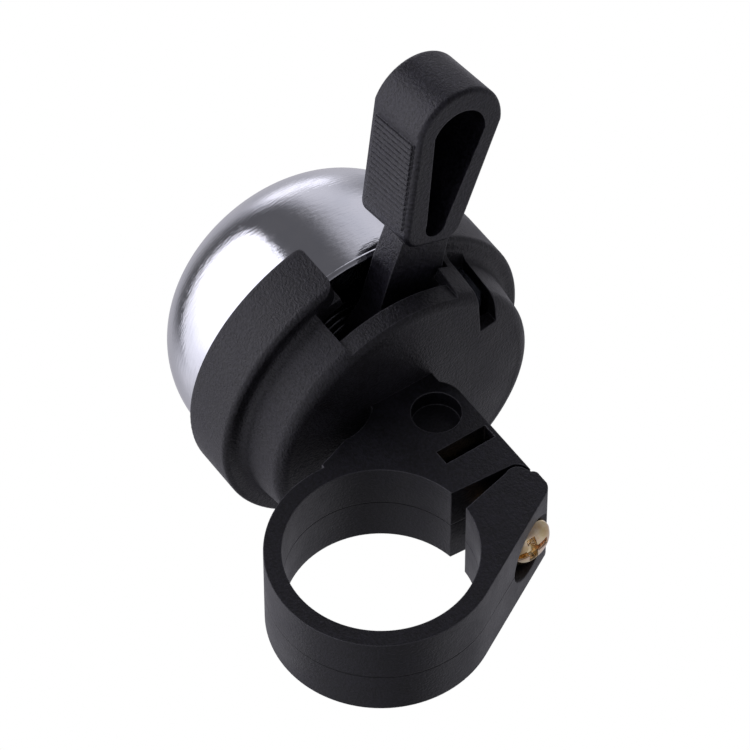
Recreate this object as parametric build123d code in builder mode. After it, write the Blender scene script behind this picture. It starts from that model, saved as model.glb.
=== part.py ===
from build123d import *
from math import acos, cos, degrees, radians, sin
import os

# Bicycle bell for a standard handlebar. Origin: centre of the clamp's bore.
# +X runs along the handlebar, +Y from the handlebar to the bell's axis, +Z up through the dome.

# handlebar clamp, one plastic moulding
bar_d = 22.2
clamp_wall = 2.05
clamp_width = 12.0
clamp_outer_r = bar_d / 2 + clamp_wall
arm_end_y = 20.2
gap_arm_z = 1.9
gap_arm_end_z = 1.25
gap_tab_z = -0.85
gap_tab_end_z = 0.7
hook_z = -0.45
tab_end_y = 20.6
tab_corner_z = -3.7
arm_left_y = 10.6
arm_corner_r = 3.9
recess_y = 16.2
recess_z = 12.2
recess_r = 2.9
recess_depth = 2.2

# the bell's axis, and the height of the rim's back face
bell_x = -0.5
bell_y = 16.1
rim_z = 24.7

# base cup, one plastic moulding; heights are above the rim's back face
rim_r = 20.6
rim_wall = 1.5
rim_height = 7.4
shoulder = 1.6
boss_root_r = 18.2
boss_edge_r = 17.65
boss_wall = 1.3
boss_depth = 6.7
back_rise = 1.0
plate_top = -5.2
seat_depth = 7.0
window_from = -24.5
window_to = 26.0
window_sill = -3.8
window_edge_r = 17.2
rim_gap_from = -14.0
rim_gap_to = 31.0
rim_gap_sill = -1.8
rim_end_top_r = 1.1
rim_end_back_r = 1.7
slot_width = 2.4
slot_offset = 11.3
slot_from_x = 8.4

# centre post and what it carries
stud_r = 1.75
stud_in_arm = 4.4
post_flange_r = 4.2
post_flange = 0.6
pillar_stud_r = 1.5
post_r = 3.0
post_top = 9.7
running = 0.05
washer = 0.5
bush_wall = 0.95
hub_wall = 1.0
hub_top = 7.9
clip_thickness = 0.6
clip_depth = 0.6

# dome, pressed steel
dome_r = 18.7
dome_lip_r = dome_r - 0.2
dome_lip = 3.0
dome_apex = 24.1
dome_thickness = 0.8
dome_corner_r = dome_r - 5.7
dome_crown_r = 40.0
cushion = 0.8
pillar_af = 6.0
dome_screw_r = 1.5
dome_screw_head_r = 3.4

# thumb lever, one plastic moulding
lever_angle = 16.5
lever_travel = 16.5
lever_bottom = -1.5
lever_top = 2.0
hub_disc_r = 7.5
neck_root_left = 3.9
neck_left = 4.0
neck_root_right = 4.6
neck_right = 3.6
pad_at_r = 22.1
pad_mid = 2.1
pad_turn = 4.1
pad_tilt = 7.3
pad_depth = 8.8
pad_length = 20.9
pad_base_half = 3.85
pad_tip_r = 6.1
pad_base_corner = 2.3
pad_wall = 2.35
pad_base_wall = 1.2
pad_tip_wall = 2.8
pad_skin = 1.6
rib_count = 17
rib_pitch = 0.7
rib_r = 0.32
rib_rise = 0.2

# return spring
wire_r = 0.4
coil_r = post_r + bush_wall + hub_wall + wire_r + 0.35
coil_pitch = 0.88
coil_turns = 5.2
coil_start_angle = -20.0
coil_start = lever_top + wire_r + 0.25
lower_tail = 6.0
upper_tail = 9.4
anchor_r = 0.8
anchor_along = 8.6
anchor_base = 1.7
lug_along = 4.4
lug_size = 2.0

# striker
hammer_pivot_r = 10.2
hammer_pivot_angle = 166.0
hammer_reach = 7.5
hammer_rest_r = dome_r - 5.8
hammer_arm_thickness = 1.2
hammer_arm_half = 2.2
weight_r = 3.0
weight_height = 5.0
pin_r = 1.2
pin_head_r = 2.0
pin_head = 0.6
weight_rivet_r = 1.0

# clamp screw and square nut
screw_y = 16.5
screw_r = 2.0
screw_head_r = 3.2
screw_head = 2.3
screw_seat_z = -4.0
screw_tip_z = 9.2
head_pocket_r = 3.85
nut_af = 6.2
nut_thickness = 1.6
nut_slot_z = 5.6
nut_slot = 2.0
nut_slot_y = 16.3
nut_slot_half = 3.35

os.makedirs("parts", exist_ok=True)

bell_origin = Vector(bell_x, bell_y, rim_z)
bell = Plane(origin=bell_origin)
bell_section = Plane(origin=bell_origin, x_dir=(1, 0, 0), z_dir=(0, -1, 0))
bell_axis = Axis(bell_origin, (0, 0, 1))


def around(radius, angle):
    """Flat position on the bell's plane at a radius and an angle from +X."""
    return (radius * cos(radians(angle)), radius * sin(radians(angle)))


# base cup: a domed back plate, a side wall, a shoulder and a wider rim round the dome
boss_inner_r = boss_edge_r - boss_wall
boss_top_inner_r = boss_root_r - boss_wall
rim_inner_r = rim_r - rim_wall
anchor_out = coil_r + wire_r + anchor_r + running
anchor_reach = (anchor_out**2 + anchor_along**2) ** 0.5
anchor_angle = coil_start_angle + 360 * (coil_turns % 1) + degrees(acos(anchor_out / anchor_reach))
with BuildPart() as base_cup:
    with BuildSketch(bell_section):
        with BuildLine():
            back = ThreePointArc(
                (0, -boss_depth - back_rise),
                (boss_edge_r / 2, -boss_depth - 0.76 * back_rise),
                (boss_edge_r - 1.8, -boss_depth),
            )
            edge = ThreePointArc(
                back @ 1, (boss_edge_r - 0.5, -boss_depth + 0.48), (boss_edge_r, -boss_depth + 1.6)
            )
            side = Line(edge @ 1, (boss_root_r - 0.1, -1.1))
            fillet_arc = ThreePointArc(side @ 1, (boss_root_r + 0.22, -0.32), (boss_root_r + 1.0, 0))
            Line(fillet_arc @ 1, (rim_r - 0.7, 0))
            ThreePointArc((rim_r - 0.7, 0), (rim_r - 0.2, 0.2), (rim_r, 0.7))
            Line((rim_r, 0.7), (rim_r, rim_height - 0.5))
            ThreePointArc(
                (rim_r, rim_height - 0.5), (rim_r - 0.15, rim_height - 0.15), (rim_r - 0.5, rim_height)
            )
            Line((rim_r - 0.5, rim_height), (rim_inner_r + 0.3, rim_height))
            Line((rim_inner_r + 0.3, rim_height), (rim_inner_r, rim_height - 0.3))
            Line((rim_inner_r, rim_height - 0.3), (rim_inner_r, shoulder))
            Line((rim_inner_r, shoulder), (boss_top_inner_r, shoulder))
            Line((boss_top_inner_r, shoulder), (boss_inner_r, plate_top + 0.8))
            ThreePointArc(
                (boss_inner_r, plate_top + 0.8),
                (boss_inner_r - 0.23, plate_top + 0.23),
                (boss_inner_r - 0.8, plate_top),
            )
            Line((boss_inner_r - 0.8, plate_top), (0, plate_top))
            Line((0, plate_top), (0, -boss_depth - back_rise))
        make_face()
    revolve(axis=bell_axis)
    # seat for the centre post, and the socket of the spring's anchor pin
    with BuildSketch(bell.offset(plate_top - 0.3)):
        Circle(post_flange_r + 0.4)
    extrude(amount=1.6)
    with BuildSketch(bell.offset(plate_top - 0.3)):
        with Locations(around(anchor_reach, anchor_angle)):
            Circle(anchor_r + 0.9)
    extrude(amount=anchor_base + 0.3)
    # flat pocket that locates the clamp's arm
    with BuildSketch(bell.offset(-boss_depth - back_rise - 1)):
        with Locations((-bell_x, (arm_left_y + arm_end_y - 1.14) / 2 - bell_y)):
            Rectangle(clamp_width, arm_end_y - 1.14 - arm_left_y)
    extrude(amount=boss_depth + back_rise + 1 - seat_depth, mode=Mode.SUBTRACT)
    # stud hole
    with BuildSketch(bell.offset(-boss_depth - back_rise - 1)):
        Circle(stud_r)
    extrude(amount=6, mode=Mode.SUBTRACT)
    # window in the side wall where the lever comes out
    with BuildSketch(bell.offset(window_sill)):
        with BuildLine():
            far = rim_r + 2
            Line(around(boss_inner_r - 1.2, window_from), around(far, window_from))
            RadiusArc(around(far, window_from), around(far, window_to), -far)
            Line(around(far, window_to), around(boss_inner_r - 1.2, window_to))
            RadiusArc(
                around(boss_inner_r - 1.2, window_to),
                around(boss_inner_r - 1.2, window_from),
                boss_inner_r - 1.2,
            )
        make_face()
    extrude(amount=-window_sill, mode=Mode.SUBTRACT)
    # the window also trims the plate's rounded edge and the sill
    with BuildSketch(bell.offset(-boss_depth - 1)):
        with BuildLine():
            far = rim_r + 2
            Line(around(window_edge_r, window_from), around(far, window_from))
            RadiusArc(around(far, window_from), around(far, window_to), -far)
            Line(around(far, window_to), around(window_edge_r, window_to))
            RadiusArc(around(window_edge_r, window_to), around(window_edge_r, window_from), window_edge_r)
        make_face()
    extrude(amount=boss_depth + window_sill + 1.5, mode=Mode.SUBTRACT)
    # gap in the rim above the window, and the notch that the lever rests in
    with BuildSketch(bell.offset(rim_gap_sill)):
        with BuildLine():
            far = rim_r + 2
            near = boss_inner_r - 1.2
            Line(around(near, rim_gap_from), around(far, rim_gap_from))
            RadiusArc(around(far, rim_gap_from), around(far, rim_gap_to), -far)
            Line(around(far, rim_gap_to), around(near, rim_gap_to))
            RadiusArc(around(near, rim_gap_to), around(near, rim_gap_from), near)
        make_face()
    extrude(amount=rim_height - rim_gap_sill + 1, mode=Mode.SUBTRACT)
    # the rim's end beside the gap has round corners
    end_out = around(1, rim_gap_from)
    end_plane = Plane(
        origin=bell_origin + Vector(boss_root_r * end_out[0], boss_root_r * end_out[1], 0),
        x_dir=(end_out[1], -end_out[0], 0),
        z_dir=(end_out[0], end_out[1], 0),
    )
    for corner_h, corner_r, way in ((rim_height, rim_end_top_r, 1), (0, rim_end_back_r, -1)):
        with BuildSketch(end_plane):
            with BuildLine():
                level = -corner_h
                inside = way * corner_r
                Polyline(
                    (corner_r, level),
                    (corner_r, level - 0.5 * way),
                    (-0.5, level - 0.5 * way),
                    (-0.5, level + inside),
                    (0, level + inside),
                )
                ThreePointArc(
                    (0, level + inside),
                    (0.293 * corner_r, level + 0.293 * inside),
                    (corner_r, level),
                )
            make_face()
        extrude(amount=4, mode=Mode.SUBTRACT)
    # drain slot through the back plate and the side wall
    with BuildSketch(bell.offset(-boss_depth - back_rise - 1)):
        with Locations(((slot_from_x + 16) / 2, slot_offset)):
            Rectangle(16 - slot_from_x, slot_width)
    extrude(amount=boss_depth + back_rise + 0.9, mode=Mode.SUBTRACT)
    # anchor pin's hole
    with BuildSketch(bell.offset(plate_top - 1)):
        with Locations(around(anchor_reach, anchor_angle)):
            Circle(anchor_r)
    extrude(amount=4, mode=Mode.SUBTRACT)
base_cup.part.label = "base_cup"
export_step(base_cup.part, "parts/base_cup.step")

# handlebar clamp: an arm under the cup, a split ring, and the tab below the split
side_plane = Plane(origin=(-clamp_width / 2, 0, 0), x_dir=(0, 1, 0), z_dir=(1, 0, 0))
arm_top_z = rim_z - seat_depth
bar_r = bar_d / 2
tab_reach = (tab_end_y**2 + tab_corner_z**2) ** 0.5
tangent_turn = degrees(acos(clamp_outer_r / tab_reach))
tab_turn = degrees(acos(tab_end_y / tab_reach))
tab_tangent = around(clamp_outer_r, -tab_turn - tangent_turn)
arm_arc_y = arm_end_y - arm_corner_r
arm_arc_z = arm_top_z - 4.8
shoulder_y = arm_end_y - 1.14
gap_start = bar_r - 0.4
gap_arm_slope = (gap_arm_end_z - gap_arm_z) / (arm_end_y - 1.2 - gap_start)
gap_tab_slope = (gap_tab_end_z - gap_tab_z) / (arm_end_y - 2.6 - gap_start)
with BuildPart() as handlebar_clamp:
    with BuildSketch(side_plane):
        Circle(clamp_outer_r)
        # arm
        with BuildLine():
            Line((1.3, 12.6), (1.3, 13.5))
            Line((1.3, 13.5), (5.5, 14.9))
            ThreePointArc((5.5, 14.9), (8.9, 15.6), (arm_left_y, arm_top_z - 0.9))
            Line((arm_left_y, arm_top_z - 0.9), (arm_left_y, arm_top_z))
            Line((arm_left_y, arm_top_z), (shoulder_y, arm_top_z))
            Line((shoulder_y, arm_top_z), (shoulder_y, arm_arc_z + 2.76))
            ThreePointArc(
                (shoulder_y, arm_arc_z + 2.76),
                (arm_arc_y + 3.6, arm_arc_z + 1.5),
                (arm_end_y, arm_arc_z),
            )
            Line((arm_end_y, arm_arc_z), (arm_end_y, hook_z))
            # the arm's end hooks down over the tab
            ThreePointArc(
                (arm_end_y, hook_z),
                (arm_end_y - 0.36, 0.5 * (hook_z + gap_arm_end_z) + 0.17),
                (arm_end_y - 1.2, gap_arm_end_z),
            )
            Line((arm_end_y - 1.2, gap_arm_end_z), (gap_start, gap_arm_z))
            Line((gap_start, gap_arm_z), (1.3, 12.6))
        make_face()
        # tab
        with BuildLine():
            Line((gap_start, gap_tab_z), (arm_end_y - 2.6, gap_tab_end_z))
            ThreePointArc(
                (arm_end_y - 2.6, gap_tab_end_z),
                (arm_end_y - 1.3, gap_tab_end_z + 0.15),
                (arm_end_y - 0.55, hook_z + 0.75),
            )
            Line((arm_end_y - 0.55, hook_z + 0.75), (arm_end_y - 0.1, hook_z - 0.3))
            ThreePointArc(
                (arm_end_y - 0.1, hook_z - 0.3),
                (tab_end_y - 0.12, hook_z - 0.6),
                (tab_end_y, hook_z - 1.2),
            )
            Line((tab_end_y, hook_z - 1.2), (tab_end_y, tab_corner_z + 0.7))
            ThreePointArc(
                (tab_end_y, tab_corner_z + 0.7),
                (tab_end_y - 0.2, tab_corner_z + 0.15),
                (tab_end_y - 0.7, tab_corner_z - 0.41),
            )
            Line((tab_end_y - 0.7, tab_corner_z - 0.41), tab_tangent)
            Line(tab_tangent, (gap_start, gap_tab_z))
        make_face()
        Circle(bar_r, mode=Mode.SUBTRACT)
        # split
        with BuildLine():
            Polyline(
                (gap_start - 1.1, gap_arm_z - 1.1 * gap_arm_slope),
                (gap_start + 3, gap_arm_z + 3 * gap_arm_slope),
                (gap_start + 3, gap_tab_z + 3 * gap_tab_slope),
                (gap_start - 1.1, gap_tab_z - 1.1 * gap_tab_slope),
                close=True,
            )
        make_face(mode=Mode.SUBTRACT)
    extrude(amount=clamp_width)
    # cored recess in the arm's near face
    with BuildSketch(side_plane.offset(clamp_width - recess_depth)):
        with Locations((recess_y, recess_z)):
            Circle(recess_r)
    extrude(amount=recess_depth + 1, mode=Mode.SUBTRACT)
    # slot for the square nut
    with BuildSketch(side_plane.offset(clamp_width / 2 - nut_af / 2 - running)):
        with Locations((nut_slot_y, nut_slot_z + nut_slot / 2)):
            Rectangle(2 * nut_slot_half, nut_slot)
    extrude(amount=clamp_width, mode=Mode.SUBTRACT)
    # screw hole and the pocket for its head
    with BuildSketch(Plane.XY.offset(screw_seat_z - 10)):
        with Locations((0, screw_y)):
            Circle(head_pocket_r)
    extrude(amount=10, mode=Mode.SUBTRACT)
    with BuildSketch(Plane.XY.offset(screw_seat_z - 1)):
        with Locations((0, screw_y)):
            Circle(screw_r + 0.15)
    extrude(amount=screw_tip_z - screw_seat_z + 1.6, mode=Mode.SUBTRACT)
    # hole for the post's stud
    with BuildSketch(Plane.XY.offset(arm_top_z - stud_in_arm)):
        with Locations((bell_x, bell_y)):
            Circle(stud_r)
    extrude(amount=stud_in_arm + 1, mode=Mode.SUBTRACT)
handlebar_clamp.part.label = "handlebar_clamp"
export_step(handlebar_clamp.part, "parts/handlebar_clamp.step")

# clamp screw: pan head with a cross recess, shank up through the nut
with BuildPart() as clamp_screw:
    with BuildSketch(Plane(origin=(0, screw_y, screw_seat_z), x_dir=(1, 0, 0), z_dir=(0, -1, 0))):
        with BuildLine():
            Line((0, 0), (screw_head_r - 0.1, 0))
            Line((screw_head_r - 0.1, 0), (screw_head_r, -0.9))
            ThreePointArc(
                (screw_head_r, -0.9),
                (0.72 * screw_head_r, -0.86 * screw_head),
                (0, -screw_head),
            )
            Line((0, -screw_head), (0, 0))
        make_face()
    revolve(axis=Axis((0, screw_y, 0), (0, 0, 1)))
    with BuildSketch(Plane.XY.offset(screw_seat_z)):
        with Locations((0, screw_y)):
            Circle(screw_r)
    extrude(amount=screw_tip_z - screw_seat_z)
    chamfer(clamp_screw.faces().sort_by(Axis.Z)[-1].edges(), 0.4)
    with BuildSketch(Plane.XY.offset(screw_seat_z - screw_head - 0.5)):
        with Locations((0, screw_y)):
            Rectangle(3.6, 0.7, rotation=20)
            Rectangle(0.7, 3.6, rotation=20)
    extrude(amount=2.0, taper=8, mode=Mode.SUBTRACT)
clamp_screw.part.label = "clamp_screw"
export_step(clamp_screw.part, "parts/clamp_screw.step")

# square nut held in the arm's slot
with BuildPart() as clamp_nut:
    with BuildSketch(Plane.XY.offset(nut_slot_z + running)):
        with Locations((0, screw_y)):
            Rectangle(nut_af, nut_af)
            Circle(screw_r, mode=Mode.SUBTRACT)
    extrude(amount=nut_thickness)
    chamfer(clamp_nut.edges().filter_by(Axis.Z).sort_by(Axis.X)[:2], 0.3)
clamp_nut.part.label = "clamp_nut"
export_step(clamp_nut.part, "parts/clamp_nut.step")

# centre post: stud into the clamp's arm, flange on the cup's seat, bearing length and top stud
seat_top = plate_top + 1.3
flange_top = seat_top + post_flange
hub_bottom = flange_top + washer + running
clip_bottom = hub_top + 2 * running + washer
dome_flat_under = dome_apex - dome_thickness
pillar_bottom = post_top
pillar_top = dome_flat_under - cushion
with BuildPart() as centre_post:
    with BuildSketch(bell.offset(-seat_depth - stud_in_arm + 0.4)):
        Circle(stud_r)
    extrude(amount=seat_depth + stud_in_arm - 0.4 + seat_top)
    with BuildSketch(bell.offset(seat_top)):
        Circle(post_flange_r)
    extrude(amount=post_flange)
    with BuildSketch(bell.offset(flange_top)):
        Circle(post_r)
    extrude(amount=post_top - flange_top)
    with BuildSketch(bell.offset(post_top)):
        Circle(pillar_stud_r)
    extrude(amount=4.5)
    # groove for the clip
    with BuildSketch(bell.offset(clip_bottom)):
        Circle(post_r + 1)
        Circle(post_r - clip_depth, mode=Mode.SUBTRACT)
    extrude(amount=clip_thickness, mode=Mode.SUBTRACT)
centre_post.part.label = "centre_post"
export_step(centre_post.part, "parts/centre_post.step")

# thrust washer between the post's flange and the lever's hub
with BuildPart() as thrust_washer:
    with BuildSketch(bell.offset(flange_top)):
        Circle(post_flange_r + 0.6)
        Circle(post_r, mode=Mode.SUBTRACT)
    extrude(amount=washer)
thrust_washer.part.label = "thrust_washer"
export_step(thrust_washer.part, "parts/thrust_washer.step")

# washer above the hub
with BuildPart() as top_washer:
    with BuildSketch(bell.offset(hub_top + running)):
        Circle(post_flange_r + 1.6)
        Circle(post_r, mode=Mode.SUBTRACT)
    extrude(amount=washer)
top_washer.part.label = "top_washer"
export_step(top_washer.part, "parts/top_washer.step")

# open ring that snaps into the post's groove
with BuildPart() as retaining_clip:
    with BuildSketch(bell.offset(clip_bottom + running / 2)):
        Circle(post_r + 1.7)
        Circle(post_r - clip_depth, mode=Mode.SUBTRACT)
        with Locations((-4, 0)):
            Rectangle(8, 2 * (post_r - clip_depth) - 0.9, mode=Mode.SUBTRACT)
        with Locations((post_r + 1.9, 0)):
            Circle(0.7, mode=Mode.SUBTRACT)
    extrude(amount=clip_thickness - running)
retaining_clip.part.label = "retaining_clip"
export_step(retaining_clip.part, "parts/retaining_clip.step")

# bush pressed into the lever's hub
bush_r = post_r + running + bush_wall
with BuildPart() as lever_bush:
    with BuildSketch(bell.offset(hub_bottom)):
        Circle(bush_r)
        Circle(post_r + running, mode=Mode.SUBTRACT)
    extrude(amount=hub_top - hub_bottom)
lever_bush.part.label = "lever_bush"
export_step(lever_bush.part, "parts/lever_bush.step")

# thumb lever: hub, disc, neck and hollow pad, with an ear for the hammer and a lug for the spring
lever_plane = Plane(
    origin=bell_origin,
    x_dir=(cos(radians(lever_angle)), sin(radians(lever_angle)), 0),
    z_dir=(0, 0, 1),
)
pad_base_at = around(pad_at_r, lever_angle)
pad_flat = around(1, lever_angle + pad_turn)
pad_lift = sin(radians(pad_tilt))
pad_plane = Plane(
    origin=bell_origin + Vector(pad_base_at[0], pad_base_at[1], pad_mid),
    x_dir=(pad_flat[0] * cos(radians(pad_tilt)), pad_flat[1] * cos(radians(pad_tilt)), pad_lift),
    z_dir=(-pad_flat[0] * pad_lift, -pad_flat[1] * pad_lift, cos(radians(pad_tilt))),
)
pad_normal = Axis(pad_plane.origin, pad_plane.z_dir)
tip_centre = pad_length - pad_tip_r
pad_lean = degrees(acos((pad_tip_r - pad_base_half) / tip_centre))
pivot_at = around(hammer_pivot_r, hammer_pivot_angle)
lug_out = coil_r + wire_r + running
lug_plane = Plane(
    origin=bell_origin,
    x_dir=(cos(radians(coil_start_angle)), sin(radians(coil_start_angle)), 0),
    z_dir=(0, 0, 1),
)
core_half = pad_base_half - pad_wall
core_r = pad_tip_r - pad_wall
core_x = pad_length - pad_tip_wall - core_r
core_base = pad_base_wall + core_half
core_lean = degrees(acos((core_r - core_half) / (core_x - core_base)))
with BuildPart() as thumb_lever:
    # pad: a rounded teardrop, narrow at the neck
    with BuildSketch(pad_plane.offset(-pad_depth / 2)) as pad_outline:
        with BuildLine():
            tip_x = tip_centre + pad_tip_r * cos(radians(pad_lean))
            tip_y = pad_tip_r * sin(radians(pad_lean))
            Line((0, -pad_base_half), (tip_x, -tip_y))
            ThreePointArc((tip_x, -tip_y), (pad_length, 0), (tip_x, tip_y))
            Line((tip_x, tip_y), (0, pad_base_half))
            Line((0, pad_base_half), (0, -pad_base_half))
        make_face()
        fillet(pad_outline.vertices().group_by(Axis.X)[0], pad_base_corner)
    extrude(amount=pad_depth)
    fillet(thumb_lever.faces().sort_by(pad_normal)[0].edges(), 0.6)
    fillet(thumb_lever.faces().sort_by(pad_normal)[-1].edges(), 0.8)
    # grip ribs on both edges of the pad
    for side_sign in (1, -1):
        for rib in range(rib_count):
            along = 2.6 + rib * rib_pitch
            half = pad_base_half + along / tip_centre * (pad_tip_r - pad_base_half)
            with BuildSketch(pad_plane.offset(0.9 - pad_depth / 2)):
                with Locations((along, side_sign * (half + rib_rise - rib_r))):
                    Circle(rib_r)
            extrude(amount=pad_depth - 2.0)
    # neck, disc and ears
    with BuildSketch(lever_plane.offset(lever_bottom)):
        with BuildLine():
            Polyline(
                (0, -hub_disc_r + 0.6),
                (4, -hub_disc_r + 0.9),
                (12, -neck_root_left),
                (19, -neck_left),
                (pad_at_r + 1.4, -neck_left + 0.3),
                (pad_at_r + 1.4, neck_right - 0.4),
                (19, neck_right),
                (12, neck_root_right),
                (4, hub_disc_r - 0.9),
                (0, hub_disc_r - 0.6),
                close=True,
            )
        make_face()
    extrude(amount=lever_top - lever_bottom)
    with BuildSketch(bell.offset(lever_bottom)):
        Circle(hub_disc_r)
        with Locations(pivot_at):
            Circle(hammer_arm_half + 0.6)
        with Locations(Location((0, 0, 0), (0, 0, hammer_pivot_angle))):
            with Locations((hammer_pivot_r / 2, 0)):
                Rectangle(hammer_pivot_r, 2 * hammer_arm_half + 0.6)
        with Locations(Location((0, 0, 0), (0, 0, coil_start_angle))):
            with Locations((lug_out + lug_size / 2 - 0.2, -lug_along)):
                Circle(lug_size * 0.9)
    extrude(amount=lever_top - 0.2 - lever_bottom)
    # hub barrel inside the coil
    with BuildSketch(bell.offset(hub_bottom)):
        Circle(bush_r + hub_wall)
    extrude(amount=hub_top - hub_bottom)
    # the pad is cored out from its back
    with BuildSketch(pad_plane.offset(-pad_depth / 2 - 1)):
        with BuildLine():
            core_at = (core_x + core_r * cos(radians(core_lean)), core_r * sin(radians(core_lean)))
            base_at = (
                core_base + core_half * cos(radians(core_lean)),
                core_half * sin(radians(core_lean)),
            )
            Line((base_at[0], -base_at[1]), (core_at[0], -core_at[1]))
            ThreePointArc((core_at[0], -core_at[1]), (core_x + core_r, 0), core_at)
            Line(core_at, base_at)
            ThreePointArc(base_at, (core_base - core_half, 0), (base_at[0], -base_at[1]))
        make_face()
    extrude(amount=pad_depth - pad_skin + 1, mode=Mode.SUBTRACT)
    # lug that pushes the spring's lower tail
    with BuildSketch(lug_plane.offset(lever_top - 0.3)):
        with Locations((lug_out + lug_size / 2, -lug_along)):
            Rectangle(lug_size, lug_size)
    extrude(amount=coil_start + wire_r + 0.3 - lever_top + 0.3)
    # bores for the bush and the hammer's pin
    with BuildSketch(bell.offset(hub_bottom - 1)):
        Circle(bush_r)
    extrude(amount=hub_top - hub_bottom + 2, mode=Mode.SUBTRACT)
    with BuildSketch(bell.offset(lever_bottom - 1)):
        with Locations(pivot_at):
            Circle(pin_r)
    extrude(amount=5, mode=Mode.SUBTRACT)
thumb_lever.part.label = "thumb_lever"
export_step(thumb_lever.part, "parts/thumb_lever.step")

# return spring round the hub's barrel, one tail on the lever's lug and one on the anchor pin
with BuildPart() as return_spring:
    with BuildLine(bell.offset(coil_start)) as spring_path:
        coil = Helix(pitch=coil_pitch, height=coil_pitch * coil_turns, radius=coil_r)
        low_end = coil @ 0
        high_end = coil @ 1
        low_way = coil % 0
        high_way = coil % 1
        Line(low_end - low_way * lower_tail, low_end)
        Line(high_end, high_end + high_way * upper_tail)
    with BuildSketch(Plane(origin=spring_path.wires()[0] @ 0, z_dir=spring_path.wires()[0] % 0)):
        Circle(wire_r)
    sweep(path=spring_path.wires()[0])
return_spring.part = return_spring.part.rotate(bell_axis, coil_start_angle)
return_spring.part.label = "return_spring"
export_step(return_spring.part, "parts/return_spring.step")

# anchor pin in the cup's floor
with BuildPart() as spring_anchor:
    with BuildSketch(bell.offset(plate_top - 1)):
        with Locations(around(anchor_reach, anchor_angle)):
            Circle(anchor_r)
    extrude(amount=coil_start + coil_pitch * coil_turns + 1.4 - plate_top + 1)
    chamfer(spring_anchor.faces().sort_by(Axis.Z)[-1].edges(), 0.25)
spring_anchor.part.label = "spring_anchor"
export_step(spring_anchor.part, "parts/spring_anchor.step")

# pin that the hammer swings on, riveted through the lever's ear
arm_bottom = lever_top - 0.2 + washer + running
arm_top = arm_bottom + hammer_arm_thickness
with BuildPart() as hammer_pin:
    with BuildSketch(bell.offset(lever_bottom - pin_head)):
        with Locations(pivot_at):
            Circle(pin_head_r)
    extrude(amount=pin_head)
    with BuildSketch(bell.offset(lever_bottom)):
        with Locations(pivot_at):
            Circle(pin_r)
    extrude(amount=arm_top + running + washer + 0.6 - lever_bottom)
    chamfer(hammer_pin.faces().sort_by(Axis.Z)[-1].edges(), 0.3)
hammer_pin.part.label = "hammer_pin"
export_step(hammer_pin.part, "parts/hammer_pin.step")

# washer under the hammer's arm, and the push-on washer above it
with BuildPart() as hammer_washer:
    with BuildSketch(bell.offset(lever_top - 0.2)):
        with Locations(pivot_at):
            Circle(pin_head_r + 0.2)
            Circle(pin_r, mode=Mode.SUBTRACT)
    extrude(amount=washer)
hammer_washer.part.label = "hammer_washer"
export_step(hammer_washer.part, "parts/hammer_washer.step")

with BuildPart() as hammer_clip:
    with BuildSketch(bell.offset(arm_top + running)):
        with Locations(pivot_at):
            Circle(pin_head_r)
            Circle(pin_r, mode=Mode.SUBTRACT)
    extrude(amount=washer)
hammer_clip.part.label = "hammer_clip"
export_step(hammer_clip.part, "parts/hammer_clip.step")

# hammer: a flat arm with a round weight riveted to its end
spread = degrees(
    acos(
        (hammer_pivot_r**2 + hammer_rest_r**2 - hammer_reach**2) / (2 * hammer_pivot_r * hammer_rest_r)
    )
)
weight_at = around(hammer_rest_r, hammer_pivot_angle + spread)
hammer_line = Vector(weight_at[0] - pivot_at[0], weight_at[1] - pivot_at[1], 0).normalized()
hammer_plane = Plane(
    origin=bell_origin + Vector(pivot_at[0], pivot_at[1], 0), x_dir=hammer_line, z_dir=(0, 0, 1)
)
with BuildPart() as hammer_arm:
    with BuildSketch(hammer_plane.offset(arm_bottom)):
        Circle(hammer_arm_half)
        with Locations((hammer_reach, 0)):
            Circle(hammer_arm_half - 0.2)
        with Locations((hammer_reach / 2, 0)):
            Rectangle(hammer_reach, 2 * hammer_arm_half - 1.2)
        Circle(pin_r + running, mode=Mode.SUBTRACT)
        with Locations((hammer_reach, 0)):
            Circle(weight_rivet_r, mode=Mode.SUBTRACT)
    extrude(amount=hammer_arm_thickness)
hammer_arm.part.label = "hammer_arm"
export_step(hammer_arm.part, "parts/hammer_arm.step")

with BuildPart() as hammer_weight:
    with BuildSketch(bell.offset(arm_top)):
        with Locations(weight_at):
            Circle(weight_r)
            Circle(weight_rivet_r, mode=Mode.SUBTRACT)
    extrude(amount=weight_height)
    chamfer(hammer_weight.edges().filter_by(GeomType.CIRCLE).sort_by(SortBy.LENGTH)[-2:], 0.5)
hammer_weight.part.label = "hammer_weight"
export_step(hammer_weight.part, "parts/hammer_weight.step")

with BuildPart() as weight_rivet:
    with BuildSketch(bell.offset(arm_bottom - 0.4)):
        with Locations(weight_at):
            Circle(weight_rivet_r + 0.6)
    extrude(amount=0.4)
    with BuildSketch(bell.offset(arm_bottom)):
        with Locations(weight_at):
            Circle(weight_rivet_r)
    extrude(amount=hammer_arm_thickness + weight_height)
    with BuildSketch(bell.offset(arm_top + weight_height)):
        with Locations(weight_at):
            Circle(weight_rivet_r + 0.6)
    extrude(amount=0.5)
    chamfer(weight_rivet.faces().sort_by(Axis.Z)[-1].edges(), 0.25)
weight_rivet.part.label = "weight_rivet"
export_step(weight_rivet.part, "parts/weight_rivet.step")

# hexagonal pillar that carries the dome
with BuildPart() as dome_pillar:
    with BuildSketch(bell.offset(pillar_bottom)):
        RegularPolygon(pillar_af / 2, 6, major_radius=False)
        Circle(pillar_stud_r, mode=Mode.SUBTRACT)
    extrude(amount=pillar_top - pillar_bottom)
dome_pillar.part.label = "dome_pillar"
export_step(dome_pillar.part, "parts/dome_pillar.step")

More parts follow.
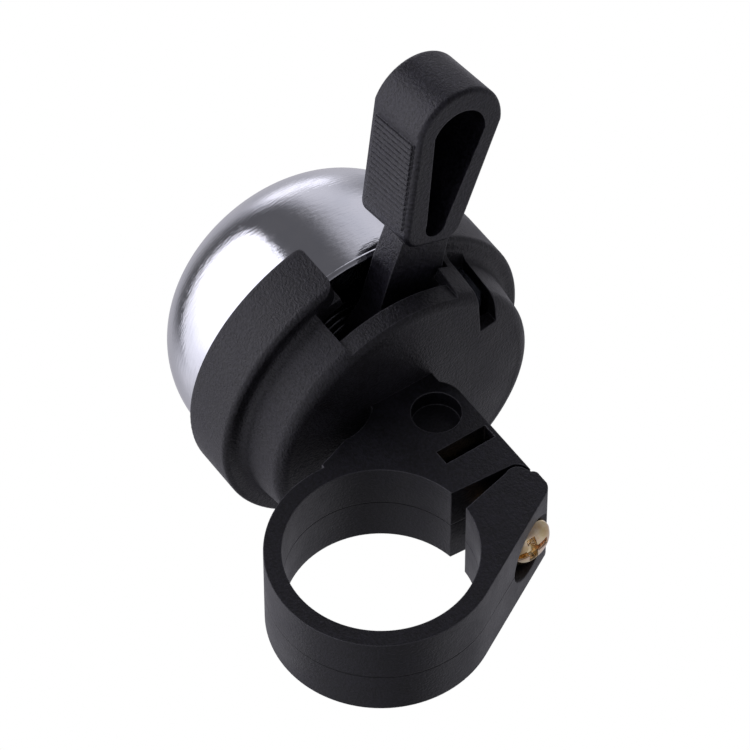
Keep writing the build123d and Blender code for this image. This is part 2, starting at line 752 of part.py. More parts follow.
# soft washer between the pillar and the dome
with BuildPart() as dome_cushion:
    with BuildSketch(bell.offset(pillar_top)):
        Circle(pillar_af / 2 + 0.9)
        Circle(dome_screw_r, mode=Mode.SUBTRACT)
    extrude(amount=cushion)
dome_cushion.part.label = "dome_cushion"
export_step(dome_cushion.part, "parts/dome_cushion.step")

# dome: steep side, round shoulder and shallow crown with a flat at the top
flat_r = 4.4
corner_x = dome_r - dome_corner_r
crown_z = dome_apex + (dome_crown_r - (dome_crown_r**2 - flat_r**2) ** 0.5) - dome_crown_r
corner_z = crown_z + ((dome_crown_r - dome_corner_r) ** 2 - corner_x**2) ** 0.5
join_slope = degrees(acos(corner_x / (dome_crown_r - dome_corner_r)))


def shell_profile(inset):
    """Points of the dome's section, moved inwards by the sheet's thickness when asked."""
    corner_r = dome_corner_r - inset
    crown_r = dome_crown_r - inset
    return (
        (dome_lip_r - inset, dome_lip),
        (dome_r - inset, corner_z),
        (
            corner_x + corner_r * cos(radians(join_slope / 2)),
            corner_z + corner_r * sin(radians(join_slope / 2)),
        ),
        (corner_x + corner_r * cos(radians(join_slope)), corner_z + corner_r * sin(radians(join_slope))),
        (
            crown_r * cos(radians((join_slope + 84) / 2)),
            crown_z + crown_r * sin(radians((join_slope + 84) / 2)),
        ),
        (flat_r, crown_z + (crown_r**2 - flat_r**2) ** 0.5),
    )


with BuildPart() as dome:
    outer = shell_profile(0)
    inner = shell_profile(dome_thickness)
    with BuildSketch(bell_section):
        with BuildLine():
            Line(outer[0], outer[1])
            ThreePointArc(outer[1], outer[2], outer[3])
            ThreePointArc(outer[3], outer[4], outer[5])
            Line(outer[5], (dome_screw_r, outer[5][1]))
            Line((dome_screw_r, outer[5][1]), (dome_screw_r, dome_flat_under))
            Line((dome_screw_r, dome_flat_under), (flat_r, dome_flat_under))
            Line((flat_r, dome_flat_under), inner[5])
            ThreePointArc(inner[5], inner[4], inner[3])
            ThreePointArc(inner[3], inner[2], inner[1])
            Line(inner[1], inner[0])
            ThreePointArc(
                inner[0],
                ((outer[0][0] + inner[0][0]) / 2, dome_lip - dome_thickness / 2),
                outer[0],
            )
        make_face()
    revolve(axis=bell_axis)
dome.part.label = "dome"
export_step(dome.part, "parts/dome.step")

# washer and low screw on top of the dome
with BuildPart() as dome_washer:
    with BuildSketch(bell.offset(dome_apex)):
        Circle(flat_r - 0.2)
        Circle(dome_screw_r, mode=Mode.SUBTRACT)
    extrude(amount=0.4)
dome_washer.part.label = "dome_washer"
export_step(dome_washer.part, "parts/dome_washer.step")

with BuildPart() as dome_screw:
    with BuildSketch(bell_section):
        with BuildLine():
            head_z = dome_apex + 0.4
            Line((0, head_z), (dome_screw_head_r, head_z))
            Line((dome_screw_head_r, head_z), (dome_screw_head_r, head_z + 0.3))
            ThreePointArc(
                (dome_screw_head_r, head_z + 0.3),
                (0.55 * dome_screw_head_r, head_z + 1.05),
                (0, head_z + 1.3),
            )
            Line((0, head_z + 1.3), (0, head_z))
        make_face()
    revolve(axis=bell_axis)
    with BuildSketch(bell.offset(pillar_top - 6)):
        Circle(dome_screw_r)
    extrude(amount=dome_apex + 0.4 - pillar_top + 6)
    with BuildSketch(bell.offset(dome_apex + 0.7)):
        Rectangle(3.0, 0.6)
        Rectangle(0.6, 3.0)
    extrude(amount=2, mode=Mode.SUBTRACT)
dome_screw.part.label = "dome_screw"
export_step(dome_screw.part, "parts/dome_screw.step")
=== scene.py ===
"""Looks for the bicycle bell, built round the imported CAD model, in metres and in its frame."""

import math

import bmesh
import bpy
import numpy as np
from mathutils import Matrix, Vector


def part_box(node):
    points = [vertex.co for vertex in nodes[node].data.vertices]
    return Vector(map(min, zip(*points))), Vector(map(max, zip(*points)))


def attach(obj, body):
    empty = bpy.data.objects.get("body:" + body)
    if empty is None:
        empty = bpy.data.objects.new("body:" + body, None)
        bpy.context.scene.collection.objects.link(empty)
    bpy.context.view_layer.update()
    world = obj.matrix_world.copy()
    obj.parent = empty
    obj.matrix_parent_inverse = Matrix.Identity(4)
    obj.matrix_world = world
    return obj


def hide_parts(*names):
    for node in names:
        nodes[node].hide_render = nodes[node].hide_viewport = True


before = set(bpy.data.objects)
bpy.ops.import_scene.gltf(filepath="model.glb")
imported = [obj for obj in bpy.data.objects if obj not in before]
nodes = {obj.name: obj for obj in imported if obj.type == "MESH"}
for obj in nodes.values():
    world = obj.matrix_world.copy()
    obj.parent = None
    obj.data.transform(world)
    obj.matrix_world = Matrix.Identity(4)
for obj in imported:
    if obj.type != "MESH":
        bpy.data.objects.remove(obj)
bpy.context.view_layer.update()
MM = 0.001


# Camera. The bell is seen from below and in front of the clamp, with the lever standing up
# and the dome turned away to the left.
CAMERA_DISTANCE = 650 * MM
CAMERA_LENS = 278.0
towards_camera = Vector((0.80902, -0.33714, -0.48149))
camera_right = Vector((0.0, 0.81915, -0.57358))
camera_up = Vector((0.58779, 0.46404, 0.66271))
looking = (-towards_camera - 0.001036 * camera_right + 0.03562 * camera_up).normalized()
camera_x = (camera_right - camera_right.dot(looking) * looking).normalized()
camera_y = (-looking).cross(camera_x)
camera_data = bpy.data.cameras.new("camera")
camera_data.lens = CAMERA_LENS
camera_data.sensor_width = 36.0
camera_data.clip_start = 0.01
camera_data.clip_end = 100.0
camera = bpy.data.objects.new("camera", camera_data)
bpy.context.scene.collection.objects.link(camera)
turned = Matrix((camera_x, camera_y, -looking)).transposed().to_4x4()
camera.matrix_world = Matrix.Translation(CAMERA_DISTANCE * towards_camera) @ turned
bpy.context.scene.camera = camera


# Studio. A white sweep with a large softbox on the left, a dim panel on the right, a dark strip and
# a small light overhead, which is what the polished dome mirrors. The world holds them by direction:
# side is the Y of a direction, raised is its angle above +X, and walls go by heading in degrees.
def linear(hex_colour):
    """The linear colour of an sRGB hex value such as "1b1b1e", by the sRGB curve."""
    parts = [int(hex_colour[i : i + 2], 16) / 255 for i in (0, 2, 4)]
    return tuple(p / 12.92 if p <= 0.04045 else ((p + 0.055) / 1.055) ** 2.4 for p in parts) + (1.0,)


def add(tree, kind, values=(), **given):
    """Adds one node. values fill its inputs in order; a capitalised name is an input, with _ for a
    space, and any other name is a setting of the node. An output socket given as a value is linked."""
    node = tree.nodes.new("ShaderNode" + kind)
    for name, value in given.items():
        if name[0].islower():
            setattr(node, name, value)
    wanted = list(zip(node.inputs, values))
    wanted += [(node.inputs[n.replace("_", " ")], v) for n, v in given.items() if n[0].isupper()]
    for socket, value in wanted:
        if isinstance(value, bpy.types.NodeSocket):
            tree.links.new(value, socket)
        elif value is not None:
            socket.default_value = value
    return node


def set_ramp(node, stops):
    """Gives a colour ramp its (place, colour) stops."""
    ramp = node.color_ramp
    while len(ramp.elements) < len(stops):
        ramp.elements.new(0.5)
    for element, (place, colour) in zip(ramp.elements, stops):
        element.position = place
        element.color = colour


BRIGHTEST = 2.2
UPPER_WALL = (
    (-180, 0.5), (-160, 0.6), (-135, 1.0), (-112, 1.4), (-98, 1.8), (-24, 2.1), (-17, 1.7),
    (-13.5, 0.2), (-8, 0.15), (6, 0.15), (16, 0.26), (27, 0.52), (38, 0.76), (50, 0.86),
    (64, 0.88), (90, 0.85), (130, 0.6), (180, 0.5),
)  # fmt: skip
LOWER_WALL = (
    (-180, 0.16), (-155, 0.22), (-115, 0.8), (-60, 0.68), (-35, 0.2), (0, 0.12), (60, 0.2),
    (120, 0.4), (150, 0.56), (165, 0.4), (180, 0.16),
)  # fmt: skip
STRIP_LEVEL = 0.14
STRIP_LEFT = (-0.17, -0.1)
STRIP_RIGHT = (0.43, 0.12)
STRIP_FRONT = (0.0, math.radians(15))
STRIP_BACK = (math.radians(142), math.radians(118))
STRIP_LEANS_FROM = math.radians(72)
STRIP_LEAN = 0.43
OVERHEAD_LEVEL = 0.8
OVERHEAD_LEFT = (0.1, 0.3)
OVERHEAD_RIGHT = (0.64, 0.5)
OVERHEAD_FRONT = (math.radians(78), math.radians(87))
OVERHEAD_BACK = (math.radians(103), math.radians(93))
CORNER_LEVEL = 0.42
CORNER_LEFT = (0.5, 0.78)
CORNER_FRONT = (math.radians(45), math.radians(80))
CORNER_BACK = (2.1, 1.9)
WALL_CHANGES_AT = (0.2, 0.44)
bpy.context.scene.view_settings.view_transform = "Standard"
world = bpy.data.worlds.new("studio")
bpy.context.scene.world = world
world.use_nodes = True
studio = world.node_tree
studio.nodes.clear()
way = add(studio, "TexCoord").outputs["Generated"]
way_parts = add(studio, "SeparateXYZ", [way])
heading = add(studio, "Math", [way_parts.outputs["Y"], way_parts.outputs["X"]], operation="ARCTAN2")
heading_share = add(studio, "MapRange", [heading.outputs[0], -math.pi, math.pi, 0.0, 1.0])


def wall_level(stops):
    """The light level of a wall round the studio, from (heading in degrees, level) stops."""
    ramp = add(studio, "ValToRGB", [heading_share.outputs[0]])
    set_ramp(ramp, [((turn + 180) / 360, (light / BRIGHTEST,) * 3 + (1.0,)) for turn, light in stops])
    return add(studio, "Math", [ramp.outputs[0], BRIGHTEST], operation="MULTIPLY").outputs[0]


def rise(value, low, high):
    """A smooth 0 to 1 as value goes from low to high, or 1 to 0 if low is the larger."""
    if low > high:
        return add(
            studio, "MapRange", [value, high, low, 1.0, 0.0], interpolation_type="SMOOTHSTEP"
        ).outputs[0]
    return add(studio, "MapRange", [value, low, high, 0.0, 1.0], interpolation_type="SMOOTHSTEP").outputs[0]


def product(*values):
    """The product of several values."""
    total = values[0]
    for value in values[1:]:
        total = add(studio, "Math", [total, value], operation="MULTIPLY").outputs[0]
    return total


def blend_level(share, first, second):
    """first where share is 0 and second where it is 1."""
    return add(studio, "Mix", [share, None, first, second], data_type="FLOAT").outputs[0]


side = way_parts.outputs["Y"]
raised = add(studio, "Math", [way_parts.outputs["Z"], way_parts.outputs["X"]], operation="ARCTAN2").outputs[0]
past_steep = add(studio, "Math", [raised, STRIP_LEANS_FROM], operation="SUBTRACT").outputs[0]
past_steep = add(studio, "Math", [past_steep, 0.0], operation="MAXIMUM").outputs[0]
strip_side = add(studio, "Math", [past_steep, STRIP_LEAN, side], operation="MULTIPLY_ADD").outputs[0]
strip = product(
    rise(strip_side, *STRIP_LEFT),
    rise(strip_side, *STRIP_RIGHT),
    rise(raised, *STRIP_BACK),
    rise(raised, *STRIP_FRONT),
)
overhead = product(
    rise(side, *OVERHEAD_LEFT),
    rise(side, *OVERHEAD_RIGHT),
    rise(raised, *OVERHEAD_FRONT),
    rise(raised, *OVERHEAD_BACK),
)
dim_corner = product(rise(side, *CORNER_LEFT), rise(raised, *CORNER_FRONT), rise(raised, *CORNER_BACK))
upper_share = rise(way_parts.outputs["Z"], *WALL_CHANGES_AT)
walls = blend_level(upper_share, wall_level(LOWER_WALL), wall_level(UPPER_WALL))
walls = blend_level(dim_corner, walls, CORNER_LEVEL)
under_strip = blend_level(strip, walls, STRIP_LEVEL)
studio_level = add(studio, "Math", [overhead, OVERHEAD_LEVEL, under_strip], operation="MULTIPLY_ADD")
studio_light = add(studio, "Background", Strength=studio_level.outputs[0], Color=linear("F6F4FF"))
white_sweep = add(studio, "Background", Strength=1.0, Color=linear("FFFFFF"))
seen_by = add(studio, "LightPath")
sky = add(
    studio,
    "MixShader",
    [seen_by.outputs["Is Camera Ray"], studio_light.outputs[0], white_sweep.outputs[0]],
)
add(studio, "OutputWorld", [sky.outputs[0]])

FLOOR_HALF = 4.0
FLOOR_Z = -1.0
floor_mesh = bpy.data.meshes.new("floor")
floor_mesh.from_pydata(
    [(x * FLOOR_HALF, y * FLOOR_HALF, FLOOR_Z) for x, y in ((-1, -1), (1, -1), (1, 1), (-1, 1))],
    [],
    [(0, 1, 2, 3)],
)
floor = bpy.data.objects.new("floor", floor_mesh)
bpy.context.scene.collection.objects.link(floor)
paper = bpy.data.materials.new("pale_paper")
paper.use_nodes = True
paper.node_tree.nodes["Principled BSDF"].inputs["Base Color"].default_value = linear("F2F2F2")
paper.node_tree.nodes["Principled BSDF"].inputs["Roughness"].default_value = 0.9
floor_mesh.materials.append(paper)
# The pale floor is only seen; the walls' lower half stands for its light.
floor.visible_glossy = False
floor.visible_diffuse = False


# Base cup. One injection moulding in black nylon from a spark-eroded mould, so its skin is finely pitted and
# semi-matt, with a painted highlight on its edges. The clamp, lever and cup share the resin.
def start_material(name):
    """A new material with one Principled shader; gives its node tree, that shader and Object coordinates."""
    material = bpy.data.materials.new(name)
    material.use_nodes = True
    tree = material.node_tree
    return material, tree, tree.nodes["Principled BSDF"], add(tree, "TexCoord").outputs["Object"]


def dress(material, *names):
    """Puts a material on CAD nodes, through their objects' material slots."""
    for name in names:
        for place in nodes[name].material_slots:
            place.material = material


def black_nylon(name, dark, light, grain, pit_depth, low_rough, high_rough, edge_r):
    """Moulded nylon: pits of the given grain and depth in metres, cloudy roughness between two values, and
    edges rounded by edge_r and painted paler as a highlight. Gives the material, its tree, its shader, its
    last bump node and Object coordinates."""
    material, tree, shader, place = start_material(name)
    clouds = add(tree, "TexNoise", Vector=place, Scale=1 / (6 * MM), Detail=4.0, Roughness=0.6)
    speckle = add(tree, "TexNoise", Vector=place, Scale=1 / grain, Detail=2.0, Roughness=0.6)
    fine = add(tree, "TexNoise", Vector=place, Scale=2.7 / grain, Detail=1.0, Roughness=0.5)
    mottle = add(
        tree, "Math", [clouds.outputs[0], 0.5, speckle.outputs[0]], operation="MULTIPLY_ADD"
    )
    tone = add(tree, "ValToRGB", [mottle.outputs[0]])
    set_ramp(tone, [(0.6, linear(dark)), (0.95, linear(light))])
    edges = add(tree, "Bevel", Radius=edge_r)
    edges.samples = 5
    facing = add(tree, "NewGeometry")
    turned_by = add(
        tree, "VectorMath", [edges.outputs[0], facing.outputs["Normal"]], operation="DOT_PRODUCT"
    )
    # Painted highlight: where the bevelled normal turns away from the face's normal, the base colour is mixed
    # towards a pale grey (77777C), patchy by the clouds, to stand for the shine that catches the edges.
    edge_highlight_share = add(
        tree,
        "MapRange",
        [turned_by.outputs["Value"], 0.86, 0.985, 1.0, 0.0],
        interpolation_type="SMOOTHSTEP",
    )
    painted_edge_highlight = add(tree, "Math", [edge_highlight_share.outputs[0], clouds.outputs[0]], operation="MULTIPLY")
    with_edges = add(tree, "Mix", data_type="RGBA", Factor=painted_edge_highlight.outputs[0])
    tree.links.new(tone.outputs[0], with_edges.inputs[6])
    with_edges.inputs[7].default_value = linear("77777C")
    tree.links.new(with_edges.outputs[2], shader.inputs["Base Color"])
    rough = add(tree, "MapRange", [clouds.outputs[0], 0.3, 0.7, low_rough, high_rough], clamp=True)
    tree.links.new(rough.outputs[0], shader.inputs["Roughness"])
    shader.inputs["IOR"].default_value = 1.46
    pits = add(tree, "Math", [fine.outputs[0], 0.35, speckle.outputs[0]], operation="MULTIPLY_ADD")
    skin = add(
        tree,
        "Bump",
        Strength=1.0,
        Distance=pit_depth,
        Height=pits.outputs[0],
        Normal=edges.outputs[0],
    )
    tree.links.new(skin.outputs[0], shader.inputs["Normal"])
    return material, tree, shader, skin, place


cup_nylon = black_nylon("cup_nylon", "100F13", "29282F", 0.3 * MM, 0.13 * MM, 0.36, 0.5, 0.3 * MM)[0]
dress(cup_nylon, "base_cup")


# Handlebar clamp. The same black nylon, moulded in two mould halves that meet at the middle of its
# width, where they leave a fine parting line round the ring and through the bore.
clamp_nylon, clamp_tree, clamp_shader, clamp_skin, clamp_place = black_nylon(
    "clamp_nylon", "0A0A0E", "1D1C25", 0.34 * MM, 0.06 * MM, 0.34, 0.48, 0.22 * MM
)
PARTING_HALF = 0.13 * MM
PARTING_DEPTH = 0.24 * MM
clamp_parts = add(clamp_tree, "SeparateXYZ", [clamp_place])
off_middle = add(clamp_tree, "Math", [clamp_parts.outputs["X"]], operation="ABSOLUTE")
parting = add(
    clamp_tree,
    "MapRange",
    [off_middle.outputs[0], 0.0, PARTING_HALF, -1.0, 0.0],
    interpolation_type="SMOOTHSTEP",
)
parting_bump = add(
    clamp_tree,
    "Bump",
    Strength=1.0,
    Distance=PARTING_DEPTH,
    Height=parting.outputs[0],
    Normal=clamp_skin.outputs[0],
)
clamp_tree.links.new(parting_bump.outputs[0], clamp_shader.inputs["Normal"])
dress(clamp_nylon, "handlebar_clamp")


# Thumb lever. The same resin from a smoother mould, so it is satin, with the same painted highlight on its
# edges.
lever_nylon = black_nylon(
    "lever_nylon", "121117", "2C2B34", 0.36 * MM, 0.09 * MM, 0.33, 0.46, 0.25 * MM
)[0]
dress(lever_nylon, "thumb_lever")


# Dome. Deep-drawn steel, polished and nickel-chromium plated: a bright mirror with the fine
# round lines of the polishing wheel still in it. Its edge is turned under into a narrow hem.
chrome, chrome_tree, chrome_shader, chrome_place = start_material("polished_chrome")
dome_low, dome_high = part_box("dome")
BELL_X = (dome_low.x + dome_high.x) / 2
BELL_Y = (dome_low.y + dome_high.y) / 2
DOME_R = (dome_high.x - dome_low.x) / 2
from_axis = add(chrome_tree, "Mapping", Vector=chrome_place, Location=(-BELL_X, -BELL_Y, 0.0))
axis_parts = add(chrome_tree, "SeparateXYZ", [from_axis.outputs[0]])
turn = add(
    chrome_tree, "Math", [axis_parts.outputs["Y"], axis_parts.outputs["X"]], operation="ARCTAN2"
)
turn_length = add(chrome_tree, "Math", [turn.outputs[0], DOME_R], operation="MULTIPLY")
flat_x = add(chrome_tree, "Math", [axis_parts.outputs["X"], 2.0], operation="POWER")
flat_y = add(chrome_tree, "Math", [axis_parts.outputs["Y"], 2.0], operation="POWER")
flat_sum = add(chrome_tree, "Math", [flat_x.outputs[0], flat_y.outputs[0]], operation="ADD")
out_from_axis = add(chrome_tree, "Math", [flat_sum.outputs[0]], operation="SQRT")
along_meridian = add(
    chrome_tree, "Math", [axis_parts.outputs["Z"], out_from_axis.outputs[0]], operation="SUBTRACT"
)
brush_place = add(chrome_tree, "CombineXYZ", [turn_length.outputs[0], along_meridian.outputs[0], 0.0])
brush_stretch = add(chrome_tree, "Mapping", Vector=brush_place.outputs[0], Scale=(1.0, 4.0, 1.0))
brush = add(
    chrome_tree, "TexNoise", Vector=brush_stretch.outputs[0], Scale=1 / (1.4 * MM), Detail=4.0
)
smears = add(chrome_tree, "TexNoise", Vector=chrome_place, Scale=1 / (5 * MM), Detail=3.0)
chrome_rough = add(
    chrome_tree, "MapRange", [smears.outputs[0], 0.35, 0.7, 0.035, 0.1], clamp=True
)
chrome_tree.links.new(chrome_rough.outputs[0], chrome_shader.inputs["Roughness"])
chrome_tone = add(chrome_tree, "ValToRGB", [smears.outputs[0]])
set_ramp(chrome_tone, [(0.3, linear("CFD1D6")), (0.7, linear("D9DADD"))])
chrome_tree.links.new(chrome_tone.outputs[0], chrome_shader.inputs["Base Color"])
chrome_shader.inputs["Metallic"].default_value = 1.0
polish = add(chrome_tree, "Bump", Strength=1.0, Distance=0.03 * MM, Height=brush.outputs[0])
chrome_tree.links.new(polish.outputs[0], chrome_shader.inputs["Normal"])


def put_grid(name, points, closed_u, closed_v, material, body):
    """A surface piece from a grid of points, rows by columns by xyz. closed_u joins the last row to
    the first, closed_v the last column to the first; an end row that is one point becomes a pole."""
    rows, columns = points.shape[:2]
    numbers = np.arange(rows * columns).reshape(rows, columns)
    next_u = np.roll(numbers, -1, 0) if closed_u else numbers[1:]
    here = numbers if closed_u else numbers[:-1]
    corners = [here, np.roll(here, -1, 1), np.roll(next_u, -1, 1), next_u]
    if not closed_v:
        corners = [c[:, : columns - 1] for c in corners]
    faces = np.stack([c.ravel() for c in corners], 1)
    flat_points = points.reshape(-1, 3)
    mesh = bpy.data.meshes.new(name)
    mesh.from_pydata(flat_points.tolist(), [], faces.tolist())
    merge_poles(mesh)
    mesh.shade_smooth()
    mesh.materials.append(material)
    piece = bpy.data.objects.new(name, mesh)
    bpy.context.scene.collection.objects.link(piece)
    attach(piece, body)
    return piece


def merge_poles(mesh):
    """Joins points that fall together, such as a pole's, and turns every face outwards."""
    work = bmesh.new()
    work.from_mesh(mesh)
    bmesh.ops.remove_doubles(work, verts=work.verts, dist=1e-7)
    bmesh.ops.recalc_face_normals(work, faces=work.faces)
    work.to_mesh(mesh)
    work.free()


DOME_APEX = 24.1 * MM
DOME_LIP = 3.0 * MM
SHEET = 0.8 * MM
SHOULDER_R = 13.0 * MM
CROWN_R = 40.0 * MM
FLAT_R = 4.4 * MM
HOLE_R = 1.5 * MM
DOME_TURNS = 240


def dome_half(inset):
    """Radii and heights of the dome's section from its lip to the edge of its flat: a nearly upright
    side, an arc for the shoulder and a flatter arc for the crown, all moved inwards by inset."""
    shoulder_x = DOME_R - SHOULDER_R
    crown_z = DOME_APEX - (CROWN_R**2 - FLAT_R**2) ** 0.5
    shoulder_z = crown_z + ((CROWN_R - SHOULDER_R) ** 2 - shoulder_x**2) ** 0.5
    join = math.acos(shoulder_x / (CROWN_R - SHOULDER_R))
    side_share = np.linspace(0, 1, 12)[:-1]
    side_r = DOME_R - 0.2 * MM * (1 - side_share) - inset
    side_h = DOME_LIP + (shoulder_z - DOME_LIP) * side_share
    shoulder = np.linspace(0, join, 60)[:-1]
    crown_end = math.acos(FLAT_R / (CROWN_R - inset))
    crown = np.linspace(join, crown_end, 40)
    radii = [
        side_r,
        shoulder_x + (SHOULDER_R - inset) * np.cos(shoulder),
        (CROWN_R - inset) * np.cos(crown),
    ]
    heights = [
        side_h,
        shoulder_z + (SHOULDER_R - inset) * np.sin(shoulder),
        crown_z + (CROWN_R - inset) * np.sin(crown),
    ]
    return np.concatenate(radii), np.concatenate(heights)


def dome_surface():
    """The sheet's whole section carried round the dome's axis: up the outside to the flat and its
    hole, back down the inside, and round the lip by half a circle."""
    outer_r, outer_h = dome_half(0.0)
    inner_r, inner_h = dome_half(SHEET)
    under = DOME_APEX - SHEET
    edge = 0.04 * MM
    hole_r = np.array([3.0 * MM, HOLE_R + edge, HOLE_R, HOLE_R, HOLE_R + edge, 3.0 * MM])
    hole_h = np.array([DOME_APEX, DOME_APEX, DOME_APEX - edge, under + edge, under, under])
    lip = np.linspace(0, np.pi, 10)[1:-1]
    lip_middle = (outer_r[0] + inner_r[0]) / 2
    radius = np.concatenate([outer_r, hole_r, inner_r[::-1], lip_middle - SHEET / 2 * np.cos(lip)])
    height = np.concatenate([outer_h, hole_h, inner_h[::-1], DOME_LIP - SHEET / 2 * np.sin(lip)])
    turn = np.linspace(0, 2 * np.pi, DOME_TURNS, endpoint=False)[:, None]
    rim_back = dome_high.z - DOME_APEX
    return np.stack(
        [
            BELL_X + radius * np.cos(turn),
            BELL_Y + radius * np.sin(turn),
            rim_back + height + 0 * turn,
        ],
        2,
    )


dome_shell = put_grid("dome_shell", dome_surface(), True, True, chrome, "bell")
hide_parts("dome")

HEM_R = 0.5 * MM
HEM_TURNS = 240
hem_turn = np.linspace(0, 2 * np.pi, HEM_TURNS, endpoint=False)[:, None]
hem_round = np.linspace(0, 2 * np.pi, 20, endpoint=False)[None, :]
hem_out = DOME_R - 0.62 * MM + HEM_R * np.cos(hem_round)
hem_up = dome_low.z + 0.42 * MM + 0.8 * HEM_R * np.sin(hem_round)
hem_points = np.stack(
    [
        BELL_X + hem_out * np.cos(hem_turn),
        BELL_Y + hem_out * np.sin(hem_turn),
        hem_up + 0 * hem_turn,
    ],
    2,
)
put_grid("dome_hem", hem_points, True, True, chrome, "bell")


# Clamp screw. A pan-head machine screw in steel, zinc plated and yellow passivated, which gives
# gold with faint pink and green; its head has a cross recess and its shank a coarse rolled thread.
def metal(name, dark, light, low_rough, high_rough, cloud, scratch, scratch_depth, tone_at=(0.35, 0.68)):
    """Metal with two tones in clouds, roughness that follows them, and fine scratches in its skin.
    Lengths are in metres. tone_at says where in the clouds the dark and the light tone are reached."""
    material, tree, shader, place = start_material(name)
    clouds = add(tree, "TexNoise", Vector=place, Scale=1 / cloud, Detail=4.0, Roughness=0.6)
    scratches = add(tree, "TexNoise", Vector=place, Scale=1 / scratch, Detail=3.0, Distortion=1.5)
    tone = add(tree, "ValToRGB", [clouds.outputs[0]])
    set_ramp(tone, [(tone_at[0], linear(dark)), (tone_at[1], linear(light))])
    tree.links.new(tone.outputs[0], shader.inputs["Base Color"])
    rough = add(tree, "MapRange", [clouds.outputs[0], 0.35, 0.7, low_rough, high_rough], clamp=True)
    tree.links.new(rough.outputs[0], shader.inputs["Roughness"])
    shader.inputs["Metallic"].default_value = 1.0
    skin = add(tree, "Bump", Strength=1.0, Distance=scratch_depth, Height=scratches.outputs[0])
    tree.links.new(skin.outputs[0], shader.inputs["Normal"])
    return material, tree, shader, place, tone


yellow_zinc, zinc_tree, zinc_shader, zinc_place, zinc_tone = metal(
    "yellow_passivated_zinc", "DCC48C", "FBF4DE", 0.07, 0.16, 1.6 * MM, 0.3 * MM, 0.0012 * MM, (0.3, 0.6)
)
bloom = add(zinc_tree, "TexNoise", Vector=zinc_place, Scale=1 / (2.3 * MM), Detail=2.0)
bloom_tone = add(zinc_tree, "ValToRGB", [bloom.outputs[0]])
set_ramp(bloom_tone, [(0.4, linear("F7EBCF")), (0.6, linear("F6DDE0"))])
iridescent = add(zinc_tree, "Mix", data_type="RGBA", blend_type="MULTIPLY", Factor=0.8)
zinc_tree.links.new(zinc_tone.outputs[0], iridescent.inputs[6])
zinc_tree.links.new(bloom_tone.outputs[0], iridescent.inputs[7])
zinc_tree.links.new(iridescent.outputs[2], zinc_shader.inputs["Base Color"])
dress(yellow_zinc, "clamp_screw", "clamp_nut")

SCREW_HEAD_R = 3.2 * MM
SCREW_HEAD = 2.3 * MM
SCREW_R = 2.0 * MM
THREAD_PITCH = 0.7 * MM
THREAD_DEPTH = 0.34 * MM
PLAIN_SHANK = 0.6 * MM
RECESS_TURN = math.radians(-6)
ARM_HALF = 0.42 * MM
ARM_LENGTH = 1.85 * MM
WALL = 0.16 * MM
screw_low, screw_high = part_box("clamp_screw")
SCREW_X = (screw_low.x + screw_high.x) / 2
SCREW_Y = (screw_low.y + screw_high.y) / 2
SEAT_Z = screw_low.z + SCREW_HEAD


def smooth_step(low, high, value):
    """0 below low, 1 above high, and a smooth cubic between them."""
    t = np.clip((value - low) / (high - low), 0, 1)
    return t * t * (3 - 2 * t)


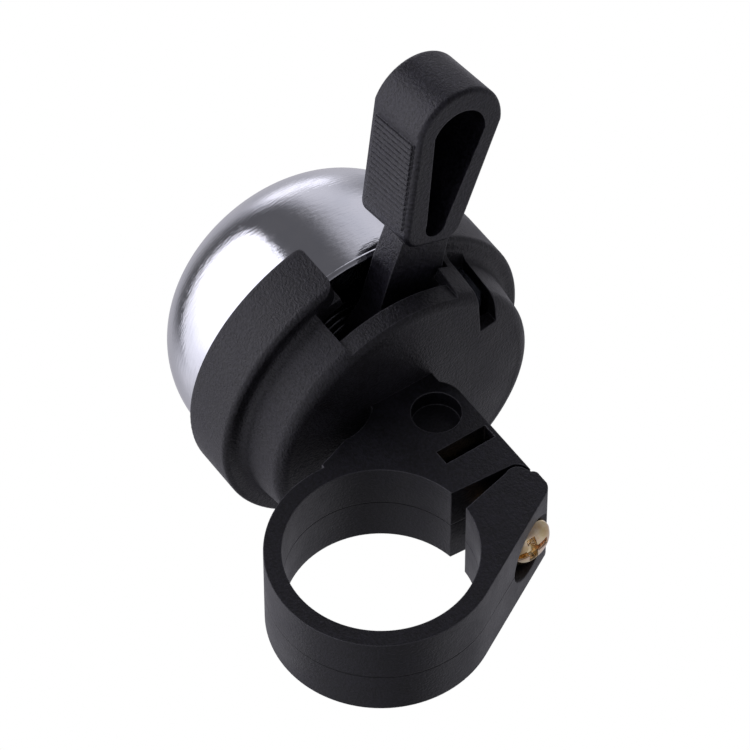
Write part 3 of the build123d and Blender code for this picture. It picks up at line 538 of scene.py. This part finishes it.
def screw_surface(turns, head_rings, thread_rings):
    """The whole screw as rings of points from the middle of its head to its tip. The head's height
    follows an arc that drops to its edge, less a cross-shaped recess whose arms narrow and rise
    outwards. The shank's radius is the minor radius plus a rounded ridge that climbs one pitch a turn."""
    turn = np.linspace(0, 2 * np.pi, turns, endpoint=False)[None, :]
    out = SCREW_HEAD_R * np.linspace(0, 1, head_rings)[:, None] ** 0.9
    share = out / SCREW_HEAD_R
    crown = SCREW_HEAD * (1 - 0.3 * share**2 - 0.34 * share**7)
    x, y = out * np.cos(turn - RECESS_TURN), out * np.sin(turn - RECESS_TURN)
    arm = np.maximum(
        (1 - smooth_step(ARM_HALF, ARM_HALF + WALL, np.abs(x)))
        * (1 - smooth_step(ARM_LENGTH, ARM_LENGTH + 2 * WALL, np.abs(y))),
        (1 - smooth_step(ARM_HALF, ARM_HALF + WALL, np.abs(y)))
        * (1 - smooth_step(ARM_LENGTH, ARM_LENGTH + 2 * WALL, np.abs(x))),
    )
    middle = 1 - smooth_step(0.55 * MM, 0.95 * MM, out + 0 * turn)
    recess = np.maximum(arm * (1.5 * MM - 0.38 * out), middle * 1.5 * MM)
    head_z = SEAT_Z - crown + recess
    head_r = out + 0 * turn
    side_z = SEAT_Z - SCREW_HEAD * np.array([0.28, 0.22, 0.12, 0.05, 0.0])[:, None] + 0 * turn
    side_r = SCREW_HEAD_R * np.array([1.0, 1.0, 1.0, 0.995, 0.97])[:, None] + 0 * turn
    neck_z = SEAT_Z + np.array([0.0, 0.06 * MM, 0.2 * MM])[:, None] + 0 * turn
    neck_r = np.array([SCREW_R + 0.25 * MM, SCREW_R + 0.06 * MM, SCREW_R])[:, None] + 0 * turn
    shank_z = np.linspace(SEAT_Z + PLAIN_SHANK, screw_high.z, thread_rings)[:, None] + 0 * turn
    ridge = 0.5 + 0.5 * np.cos(2 * np.pi * (shank_z - SEAT_Z) / THREAD_PITCH - turn)
    start = smooth_step(SEAT_Z + PLAIN_SHANK, SEAT_Z + PLAIN_SHANK + THREAD_PITCH, shank_z)
    tip = smooth_step(screw_high.z - 0.7 * MM, screw_high.z, shank_z)
    shank_r = SCREW_R - THREAD_DEPTH * (1 - ridge**0.8) * start - 0.35 * MM * tip * ridge
    end_z = np.array([screw_high.z, screw_high.z])[:, None] + 0 * turn
    end_r = np.array([1.2 * MM, 0.0])[:, None] + 0 * turn
    z = np.concatenate([head_z, side_z, neck_z, shank_z, end_z])
    r = np.concatenate([head_r, side_r, neck_r, shank_r, end_r])
    return np.stack([SCREW_X + r * np.cos(turn), SCREW_Y + r * np.sin(turn), z], 2)


screw_piece = put_grid(
    "clamp_screw_threaded",
    screw_surface(216, 90, 150),
    False,
    True,
    yellow_zinc,
    "bell",
)
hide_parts("clamp_screw")


# Turned steel parts. The centre post, hexagonal pillar, washers, clip and pins are bright zinc-plated steel,
# turned or stamped, greyer and duller than the chrome; the top screw and its washer are nickel-plated steel.
bright_steel = metal(
    "zinc_plated_steel", "8E9195", "B9BCBF", 0.24, 0.4, 1.8 * MM, 0.18 * MM, 0.003 * MM
)[0]
dress(
    bright_steel, "centre_post", "thrust_washer", "top_washer", "retaining_clip", "spring_anchor",
    "hammer_pin", "hammer_washer", "hammer_clip", "hammer_arm", "weight_rivet", "dome_pillar",
)  # fmt: skip
top_steel = metal(
    "nickel_plated_steel", "B4B5B6", "D0D0D0", 0.12, 0.22, 2.5 * MM, 0.2 * MM, 0.002 * MM
)[0]
dress(top_steel, "dome_washer", "dome_screw")


# Return spring. Hard-drawn music wire, coiled cold: dark grey steel with the die's fine lines.
spring_steel = metal(
    "music_wire", "6E7074", "A4A6AA", 0.2, 0.36, 0.9 * MM, 0.12 * MM, 0.004 * MM
)[0]
dress(spring_steel, "return_spring")


# Bush and striker weight. Free-cutting brass, turned, slightly dulled by handling.
turned_brass = metal(
    "turned_brass", "A8823A", "CFAE62", 0.2, 0.34, 1.5 * MM, 0.15 * MM, 0.003 * MM
)[0]
dress(turned_brass, "lever_bush", "hammer_weight")


# Dome cushion. A washer punched from soft black rubber sheet, matt and faintly dusty.
# Its edges too are painted paler as a highlight, by black_nylon.
cushion_rubber = black_nylon(
    "cushion_rubber", "141414", "2A2A29", 0.4 * MM, 0.03 * MM, 0.75, 0.9, 0.1 * MM
)[0]
dress(cushion_rubber, "dome_cushion")
